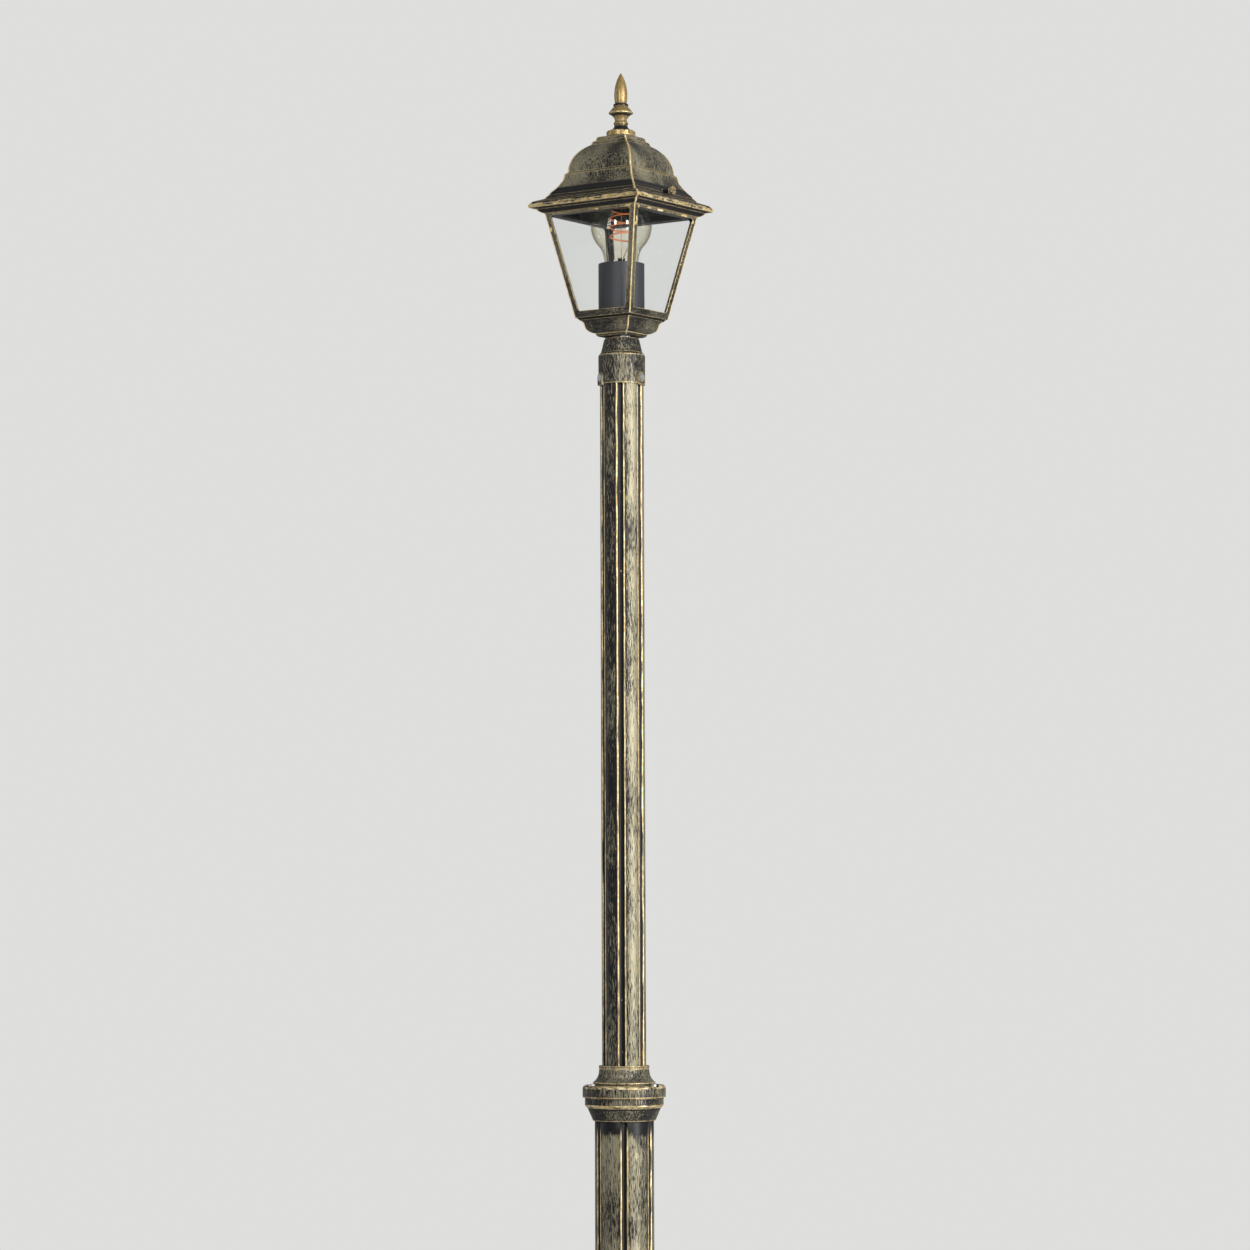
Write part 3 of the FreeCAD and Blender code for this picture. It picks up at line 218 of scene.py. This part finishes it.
def brushed_paint(
    name,
    stretch,
    cover,
    flutes=None,
    ends=None,
    edge=2.0,
    across_below=None,
    ridge=None,
    blots=None,
    lips=(),
    shaded_band=None,
    shaded_side=None,
):
    """Black paint with gold dragged over it by a dry brush. cover is the share of gold on open flats.

    flutes is a tube's own section: its grooves stay black, with a gold line along each of their edges.
    ends is a height near which the brush was lifted, so that the gold stops short of it in ragged strokes.
    edge is the width, in millimetres, of the gold along the outward edges.
    across_below is a height below which the strokes run level instead of upright, and are few.
    ridge is the width, in millimetres, of the gold along the corners of a square casting.
    blots is a height above which the brush left thick drops of gold.
    lips are pairs of heights between which the gold is rubbed on thickly.
    shaded_band is a pair of heights between which the gold is left out, so that the band stays black as a
    painted shadow line.
    shaded_side is the direction, in degrees, in which a tube's gold is thinnest: painted shade on the side
    that the strong lamp leaves dim."""
    s = Shader(name)
    patches = s.math("MULTIPLY", s.math("SUBTRACT", s.noise(30.0, (1, 1, 0.45), 3.0, 0.5), 0.5), 1.7)
    here = s.math("ADD", patches, cover)
    # Painted shade: the gold is thinned on the side turned away from the strong lamp, so that side looks
    # darker
    if shaded_side is not None:
        turned = s.math("COSINE", s.math("SUBTRACT", s.around(), radians(shaded_side)))
        here = s.math("SUBTRACT", here, s.math("MULTIPLY", s.math("MAXIMUM", turned, 0.0), 0.62))
    if ends:
        lift = s.step(s.height(), ends - 0.017, ends - 0.003)
        here = s.math("SUBTRACT", here, s.math("MULTIPLY", lift, 1.1))
    if flutes:
        from_groove = s.math("PINGPONG", s.math("SUBTRACT", s.around(), flutes.start), pi / GROOVES)
        arc = s.math("MULTIPLY", from_groove, flutes.radius)
        land = s.step(arc, flutes.groove + 1.5, flutes.groove + 5.0)
        here = s.math("ADD", here, s.math("MULTIPLY", land, 0.25))
    else:
        sheltered = s.math("SUBTRACT", 1.0, s.open_air(9.0))
        here = s.math("SUBTRACT", here, s.math("MULTIPLY", sheltered, 0.7))
    flats = dragged(s, BRISTLE, stretch, here)
    if across_below:
        level = s.step(s.height(), across_below + 0.001, across_below - 0.001)
        level_strokes = dragged(s, BRISTLE, (0.08, 0.08, 1), s.math("SUBTRACT", here, 0.75))
        flats = s.blend_value(level, flats, s.math("MULTIPLY", level_strokes, 0.15))
    whole = s.step(s.noise(2.6, (1, 1, 0.14), 4.0, 0.6), 0.34, 0.52)
    broken = s.math("ADD", s.math("MULTIPLY", whole, 0.6), 0.4)
    if flutes:
        shore = s.math("ADD", s.math("MULTIPLY", s.noise(7.0, (1, 1, 0.2)), 1.2), flutes.groove - 0.6)
        past = s.math("SUBTRACT", arc, shore)
        flats = s.math("MULTIPLY", flats, s.step(past, 0.2, 0.8))
        line = s.math("MULTIPLY", s.step(past, -0.35, 0.0), s.step(past, 1.5, 0.9))
        dabs = s.step(s.noise(2.4, (1, 1, 0.5), 2.0), 0.70, 0.76)
        line = s.math("MAXIMUM", line, s.math("MULTIPLY", dabs, s.step(arc, 1.0, 0.6)))
        if ends:
            line = s.math("MULTIPLY", line, s.math("SUBTRACT", 1.0, lift))
    else:
        flats = s.math("MULTIPLY", flats, s.outward())
        line = s.math("MULTIPLY", s.edges(edge), s.outward())
    line = s.math("MULTIPLY", line, broken)
    if ridge:
        line = s.math("MAXIMUM", line, s.math("MULTIPLY", s.ridges(ridge), s.outward()))
    for low, high in lips:
        rubbed = s.math("MULTIPLY", s.step(s.noise(3.0, (0.35, 0.35, 1), 5.0, 0.7), 0.40, 0.56), 0.86)
        on_lip = s.band(s.height(), (low, low + 0.0005), (high + 0.0005, high))
        thick = s.math("MULTIPLY", on_lip, rubbed)
        line = s.math("MAXIMUM", line, s.math("MULTIPLY", thick, s.outward()))
    if blots:
        above = s.step(s.height(), blots, blots + 0.004)
        drops = s.math("MULTIPLY", s.step(s.noise(14.0, detail=1.0), 0.57, 0.60), above)
        line = s.math("MAXIMUM", line, s.math("MULTIPLY", drops, s.outward()))
    gilt = s.math("MAXIMUM", s.math("MULTIPLY", flats, 0.80), line)
    # Painted shadow: a thin band is kept black, standing in for the shade under the lantern's rail and in the
    # gap at the coupling
    if shaded_band:
        low, high = shaded_band
        inside = s.band(s.height(), (low - 0.0003, low), (high, high - 0.0001))
        gilt = s.math("MULTIPLY", gilt, s.math("SUBTRACT", 1.0, inside))
    dark = s.blend(s.noise(9.0), BLACK, BLACK_WORN)
    dull = s.blend(s.noise(5.0, stretch), GOLD_DULL, GOLD_GREY)
    gold = s.blend(line, dull, s.blend(s.step(s.noise(4.0), 0.4, 0.6), GOLD, GOLD_PALE))
    fine = s.noise(0.7, (1, 1, 0.3))
    height = s.math("ADD", s.math("MULTIPLY", gilt, 0.6), s.math("MULTIPLY", fine, 0.4))
    roughness = s.math("ADD", s.math("MULTIPLY", fine, 0.20), s.math("MULTIPLY", gilt, 0.06))
    return s.principled(
        Base_Color=s.blend(gilt, dark, gold),
        Metallic=s.math("MULTIPLY", gilt, 0.45),
        Roughness=s.math("ADD", roughness, 0.24),
        Specular_IOR_Level=0.18,
        Normal=s.bump(height, 0.08, rounded=None if flutes else 0.8),
    )


def gilded_paint(name, beyond=None, necks=()):
    """Gold laid on almost solid, with a few missed marks.

    Black is left nearer to the post's axis than beyond, and between the heights of each of the necks."""
    s = Shader(name)
    covered = s.open_air(7.0, 0.62, 0.86)
    missed = s.step(s.noise(3.2, (1, 1, 0.5), 4.0, 0.6), 0.58, 0.64)
    gilt = s.math("MULTIPLY", covered, s.math("SUBTRACT", 1.0, missed))
    if beyond:
        gilt = s.math("MULTIPLY", gilt, s.step(s.from_axis(), beyond - 0.0002, beyond))
    ragged = s.math("ADD", s.height(), s.math("MULTIPLY", s.noise(2.0), 0.0016))
    for low, high in necks:
        inside = s.band(ragged, (low, low + 0.0012), (high + 0.0016, high))
        gilt = s.math("MULTIPLY", gilt, s.math("SUBTRACT", 1.0, inside))
    fine = s.noise(0.9, (1, 1, 0.25), 4.0, 0.6)
    gold = s.blend(s.step(fine, 0.35, 0.65), GOLD_DEEP, GOLD_SOFT)
    # Painted highlight: the edges are made pale gold, as if they caught the light
    gold = s.blend(s.edges(0.9), gold, GOLD_PALE)
    return s.principled(
        Base_Color=s.blend(gilt, BLACK_WORN, gold),
        Metallic=s.math("MULTIPLY", gilt, 0.5),
        Roughness=s.math("ADD", s.math("MULTIPLY", fine, 0.20), 0.24),
        Specular_IOR_Level=0.25,
        Normal=s.bump(fine, 0.05, rounded=0.6),
    )


def metal(name, colour, worn, roughness):
    """Plated or bare metal: cloudy, finely scratched, brighter on its edges."""
    s = Shader(name)
    cloud = s.noise(3.0, detail=4.0)
    scratches = s.noise(0.35, roughness=0.7)
    tone = s.blend(s.math("ADD", cloud, s.math("MULTIPLY", s.edges(0.4), 0.5), clamp=True), worn, colour)
    rough = s.math("ADD", s.math("MULTIPLY", scratches, 0.25), roughness)
    return s.principled(Base_Color=tone, Metallic=1.0, Roughness=rough, Normal=s.bump(scratches, 0.02))


def moulded(name, colour, worn, roughness, grain=0.05):
    """Moulded plastic, rubber or ceramic: nearly even, with paler edges and a grain in millimetres."""
    s = Shader(name)
    cloud = s.noise(7.0, detail=4.0)
    fine = s.noise(0.5, detail=2.0)
    rubbed = s.math("ADD", s.math("MULTIPLY", cloud, 0.6), s.math("MULTIPLY", s.edges(0.5), 0.4), clamp=True)
    rough = s.math("ADD", s.math("MULTIPLY", fine, 0.16), roughness)
    tone = s.blend(rubbed, colour, worn)
    return s.principled(Base_Color=tone, Metallic=0.0, Roughness=rough, Normal=s.bump(fine, grain))


def thin_glass(name, tint, edge_tint, mirror, smear):
    """Clear glass that light passes straight through, with its reflections and a faint film of dust.

    mirror is how much it reflects face on, and smear how far the film blurs that."""
    s = Shader(name)
    film = s.noise(30.0, detail=4.0)
    facing = s.node("LayerWeight", {"Blend": 0.5}).outputs["Facing"]
    rim = s.math("POWER", facing, 3.0)
    colour = s.blend(s.math("ADD", rim, s.math("MULTIPLY", film, 0.04), clamp=True), tint, edge_tint)
    through = s.node("BsdfTransparent", {"Color": colour}).outputs["BSDF"]
    rough = s.math("ADD", s.math("MULTIPLY", film, smear), 0.01)
    shine = s.node("BsdfGlossy", {"Color": (1, 1, 1, 1), "Roughness": rough}).outputs["BSDF"]
    share = s.math("ADD", s.math("MULTIPLY", s.math("POWER", facing, 5.0), 0.9), mirror)
    return s.finish(s.node("MixShader", {0: share, 1: through, 2: shine}).outputs["Shader"])


UPRIGHT = (1, 1, 0.10)
CUP_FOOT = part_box("post_coupling")[0].z
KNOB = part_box("cap_washer_right")[1].x
ROOF_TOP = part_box("roof")[1].z
NECKS_ABOVE_ROOF = ((6.2, 11.0), (20.8, 22.8), (30.8, 33.2))
NECKS = [(ROOF_TOP + low * MM, ROOF_TOP + high * MM) for low, high in NECKS_ABOVE_ROOF]

materials = {
    "cast_paint": brushed_paint("cast_paint", (1, 1, 0.12), 0.36),
    "coupling_paint": brushed_paint(
        "coupling_paint", (1, 1, 0.12), 0.42, edge=2.4, lips=CUP_RIMS, shaded_band=CUP_SHADOW
    ),
    "cage_paint": brushed_paint(
        "cage_paint", (1, 1, 0.45), 0.46, edge=1.0, ridge=1.9, blots=BLOTS_FROM, shaded_band=RAIL_SHADOW
    ),
    "roof_paint": brushed_paint(
        "roof_paint", (1, 1, 0.09), 0.54, edge=1.5, across_below=SKIRT_TOP, ridge=2.6, lips=(EAVE_LIP,)
    ),
    "tube_paint": brushed_paint("tube_paint", UPRIGHT, 0.50),
    # The upper tube's gold is thinner towards the front left, as painted shade
    "upper_tube_paint": brushed_paint("upper_tube_paint", UPRIGHT, 0.62, flutes=UPPER_FLUTES, shaded_side=-100),
    "lower_tube_paint": brushed_paint("lower_tube_paint", UPRIGHT, 0.42, flutes=LOWER_FLUTES, ends=CUP_FOOT),
    "finial_paint": gilded_paint("finial_paint", necks=NECKS),
    "knob_gilt": gilded_paint("knob_gilt", beyond=KNOB),
    "zinc": metal("zinc", (0.80, 0.80, 0.82, 1), (0.52, 0.53, 0.55, 1), 0.30),
    "brass": metal("brass", (0.80, 0.58, 0.26, 1), (0.48, 0.32, 0.14, 1), 0.24),
    "wire": metal("wire", (0.52, 0.30, 0.22, 1), (0.30, 0.18, 0.14, 1), 0.30),
    "nylon": moulded("nylon", (0.72, 0.70, 0.62, 1), (0.80, 0.78, 0.72, 1), 0.45),
    "terminal_plastic": moulded("terminal_plastic", (0.70, 0.70, 0.67, 1), (0.80, 0.80, 0.78, 1), 0.40),
    "rubber": moulded("rubber", (0.012, 0.012, 0.012, 1), (0.045, 0.045, 0.045, 1), 0.62, 0.08),
    "lead_sheath": moulded("lead_sheath", (0.06, 0.05, 0.045, 1), (0.10, 0.09, 0.08, 1), 0.45),
    "sleeve": moulded("sleeve", (0.022, 0.024, 0.029, 1), (0.036, 0.039, 0.045, 1), 0.42),
    "ceramic": moulded("ceramic", (0.78, 0.76, 0.71, 1), (0.86, 0.85, 0.82, 1), 0.12, 0.02),
    "filament": moulded("filament", (0.84, 0.22, 0.06, 1), (0.95, 0.36, 0.14, 1), 0.50, 0.03),
    "pane_glass": thin_glass("pane_glass", (0.993, 0.996, 0.994, 1), (0.93, 0.96, 0.95, 1), 0.018, 0.05),
    "bulb_envelope": thin_glass("bulb_envelope", (0.988, 0.980, 0.945, 1), (0.80, 0.74, 0.58, 1), 0.045, 0.0),
    "bulb_inner_glass": thin_glass(
        "bulb_inner_glass", (0.96, 0.96, 0.95, 1), (0.50, 0.50, 0.50, 1), 0.04, 0.03
    ),
}

own_paint = {
    "finial": "finial_paint",
    "post_coupling": "coupling_paint",
    "lantern_cage": "cage_paint",
    "lantern_base": "cage_paint",
}

for part in frame["record"]["subparts"]:
    node = frame["nodes"][part["node"]]
    for slot in node.material_slots:
        slot.material = materials[own_paint.get(part["node"], part["material_slot"])]


def new_piece(name, shape, material, body, node):
    """A finished mesh that rides on a body and stands for one CAD node."""
    mesh = bpy.data.meshes.new(name)
    bmesh.ops.recalc_face_normals(shape, faces=shape.faces)
    for face in shape.faces:
        face.smooth = True
    shape.to_mesh(mesh)
    shape.free()
    piece = bpy.data.objects.new(name, mesh)
    mesh.materials.append(materials[material])
    bpy.context.collection.objects.link(piece)
    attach(piece, body)
    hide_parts(node)
    return piece


# Bulb


def arc_points(start, end, bulge, count):
    """Points after start on the arc to end whose bulge is the tangent of a quarter of its angle."""
    if not bulge:
        return [end]
    sweep = 4 * atan2(bulge, 1)
    chord = Vector(end) - Vector(start)
    middle = (Vector(start) + Vector(end)) / 2
    centre = middle + chord.orthogonal() * (1 - bulge * bulge) / (4 * bulge)
    arm = Vector(start) - centre
    return [tuple(centre + Matrix.Rotation(sweep * k / count, 2) @ arm) for k in range(1, count + 1)]


def lathe(name, profile, segments, material, body, node):
    """A closed turned shape, from a profile in millimetres that meets the axis twice.

    Each corner of the profile is a radius and a height, and a bulge where an arc leads to it."""
    points = [profile[0][:2]]
    for end in profile[1:]:
        bulge = end[2] if len(end) > 2 else 0
        points += arc_points(points[-1], end[:2], bulge, 40 if abs(bulge) > 0.3 else 12)
    shape = bmesh.new()
    turns = [tau * k / segments for k in range(segments)]
    rings = []
    for radius, z in points:
        if radius < 1e-6:
            rings.append([shape.verts.new((0, 0, z * MM))])
            continue
        ring = [(radius * MM * cos(turn), radius * MM * sin(turn), z * MM) for turn in turns]
        rings.append([shape.verts.new(place) for place in ring])
    for below, above in zip(rings, rings[1:]):
        for k in range(segments):
            loop = [below[k % len(below)], below[(k + 1) % len(below)]]
            loop += [above[(k + 1) % len(above)], above[k % len(above)]]
            corners = list(dict.fromkeys(loop))
            shape.faces.new(corners)
    return new_piece(name, shape, material, body, node)


def add_bulb():
    """Round envelope with a wall 0.9 mm thick: a sphere, then a neck that ends inside the cap."""
    centre, radius, wall = 1849.0, 30.0, 0.9
    side, foot = radius * sin(radians(45)), centre - radius * cos(radians(45))
    sphere = tan(radians(135) / 4)
    profile = [(0, centre + radius), (side, foot, -sphere), (17.0, 1815.5, 0.13), (15.2, 1805.5)]
    profile += [(12.4, 1801.0, 0.1), (12.4, 1793.0), (11.5, 1793.0), (11.5, 1801.3)]
    inner = radius - wall
    inner_side, inner_foot = inner * sin(radians(45)), centre - inner * cos(radians(45))
    profile += [(14.3, 1805.8, -0.1), (16.1, 1815.7), (inner_side, inner_foot, -0.13)]
    profile += [(0, centre + inner, sphere)]
    lathe("bulb_envelope_blown", profile, 96, "bulb_envelope", "bulb", "bulb_glass")


add_bulb()


# Fluted tubes


def flute(angle, centre, radius, start):
    """How far out a groove's wall is along a ray, or None where the ray misses every groove."""
    step = tau / GROOVES
    off = (angle - start + step / 2) % step - step / 2
    side = centre * sin(off)
    if abs(side) >= radius:
        return None
    return centre * cos(off) - (radius * radius - side * side) ** 0.5


def softer_least(first, second, soft):
    """The smaller of two lengths, rounded where they are nearly the same."""
    near = max(0.0, 1 - abs(first - second) / soft)
    return min(first, second) - near * near * soft / 4


def fluted_tube(node, material, flutes):
    """Tube whose round grooves have softened edges, with ribs inside behind them."""
    low, high = (corner.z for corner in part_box(node))
    around, floors = 432, 24
    shape = bmesh.new()
    walls = []
    for wall, groove, soft in ((flutes.radius, flutes.groove, 0.55), (flutes.bore, flutes.rib, 0.0)):
        section = []
        for k in range(around):
            angle = tau * k / around
            reach = flute(angle, flutes.centre, groove, flutes.start)
            out = wall
            if reach is not None:
                out = softer_least(wall, reach, soft) if soft else min(wall, reach)
            section.append((out * MM * cos(angle), out * MM * sin(angle)))
        levels = [low + (high - low) * level / floors for level in range(floors + 1)]
        walls.append([[shape.verts.new((x, y, z)) for x, y in section] for z in levels])
    outer, inner = walls
    for rings in walls:
        for below, above in zip(rings, rings[1:]):
            for k in range(around):
                shape.faces.new((below[k - 1], below[k], above[k], above[k - 1]))
    for end in (0, -1):
        for k in range(around):
            shape.faces.new((outer[end][k - 1], outer[end][k], inner[end][k], inner[end][k - 1]))
    return new_piece(node + "_fluted", shape, material, "post", node)


fluted_tube("lower_post", "lower_tube_paint", LOWER_FLUTES)
fluted_tube("upper_post", "upper_tube_paint", UPPER_FLUTES)


# Camera, floor and light

# The eye, in metres and degrees: its tilt is from level, and its swing from the azimuth
EYE_HEIGHT = 1.2
DISTANCE = 4.004
AZIMUTH = 35.0
TILT = 3.68
SWING = -0.033
ROLL = -0.20

LAMPS_AIM_AT = (0, 0, 1.5)
FLOOR_RADIUS = 9.0


def add_camera():
    data = bpy.data.cameras.new("camera")
    data.lens = 118.8
    data.sensor_width = 36.0
    data.clip_end = 100.0
    camera = bpy.data.objects.new("camera", data)
    turn = radians(AZIMUTH)
    camera.location = (DISTANCE * sin(turn), -DISTANCE * cos(turn), EYE_HEIGHT)
    aim = Euler((radians(90 + TILT), 0, radians(AZIMUTH + SWING))).to_matrix()
    roll = Matrix.Rotation(radians(ROLL), 3, "Z")
    camera.rotation_euler = (aim @ roll).to_euler()
    bpy.context.collection.objects.link(camera)
    bpy.context.scene.camera = camera


def add_floor():
    """A pale round floor, a little brighter to the eye than its light makes it."""
    mesh = bpy.data.meshes.new("floor")
    shape = bmesh.new()
    bmesh.ops.create_circle(shape, cap_ends=True, segments=96, radius=FLOOR_RADIUS)
    shape.to_mesh(mesh)
    shape.free()
    floor = bpy.data.objects.new("floor", mesh)
    s = Shader("floor")
    tone = s.blend(s.noise(300.0), (0.70, 0.70, 0.69, 1), (0.74, 0.74, 0.73, 1))
    seen = s.node("LightPath").outputs["Is Camera Ray"]
    glow = s.math("MULTIPLY", seen, 0.2)
    mesh.materials.append(s.principled(Base_Color=tone, Roughness=0.85, Emission_Strength=glow))
    bpy.context.collection.objects.link(floor)


def add_softbox(name, azimuth, distance, height, size, power):
    """A soft upright lamp at an azimuth round the post."""
    data = bpy.data.lights.new(name, "AREA")
    data.shape = "RECTANGLE"
    data.size, data.size_y = size
    data.energy = power
    lamp = bpy.data.objects.new(name, data)
    turn = radians(azimuth)
    lamp.location = (distance * sin(turn), -distance * cos(turn), height)
    aim = Vector(LAMPS_AIM_AT) - lamp.location
    lamp.rotation_euler = aim.to_track_quat("-Z", "Y").to_euler()
    lamp.visible_camera = False
    bpy.context.collection.objects.link(lamp)


def add_world():
    """A pale wall all round for the eye, and a dimmer room for light and reflections."""
    world = bpy.data.worlds.new("studio")
    world.use_nodes = True
    tree = world.node_tree
    seen = tree.nodes["Background"]
    seen.inputs["Color"].default_value = (0.735, 0.735, 0.722, 1)
    room = tree.nodes.new("ShaderNodeBackground")
    room.inputs["Color"].default_value = (0.95, 0.98, 1.0, 1)
    room.inputs["Strength"].default_value = 0.27
    path = tree.nodes.new("ShaderNodeLightPath")
    mix = tree.nodes.new("ShaderNodeMixShader")
    tree.links.new(path.outputs["Is Camera Ray"], mix.inputs[0])
    tree.links.new(room.outputs["Background"], mix.inputs[1])
    tree.links.new(seen.outputs["Background"], mix.inputs[2])
    tree.links.new(mix.outputs["Shader"], tree.nodes["World Output"].inputs["Surface"])
    bpy.context.scene.world = world
    bpy.context.scene.view_settings.view_transform = "Standard"


add_camera()
add_floor()
add_softbox("softbox_left", AZIMUTH - 98, 2.2, 1.6, (0.5, 2.2), 8)
add_softbox("softbox_right", AZIMUTH + 50, 2.2, 1.6, (0.6, 2.4), 64)
add_softbox("window_left", AZIMUTH - 22, 2.4, 2.2, (0.36, 1.0), 17)
add_softbox("window_right", AZIMUTH + 22, 2.4, 2.2, (0.36, 1.0), 17)
add_world()
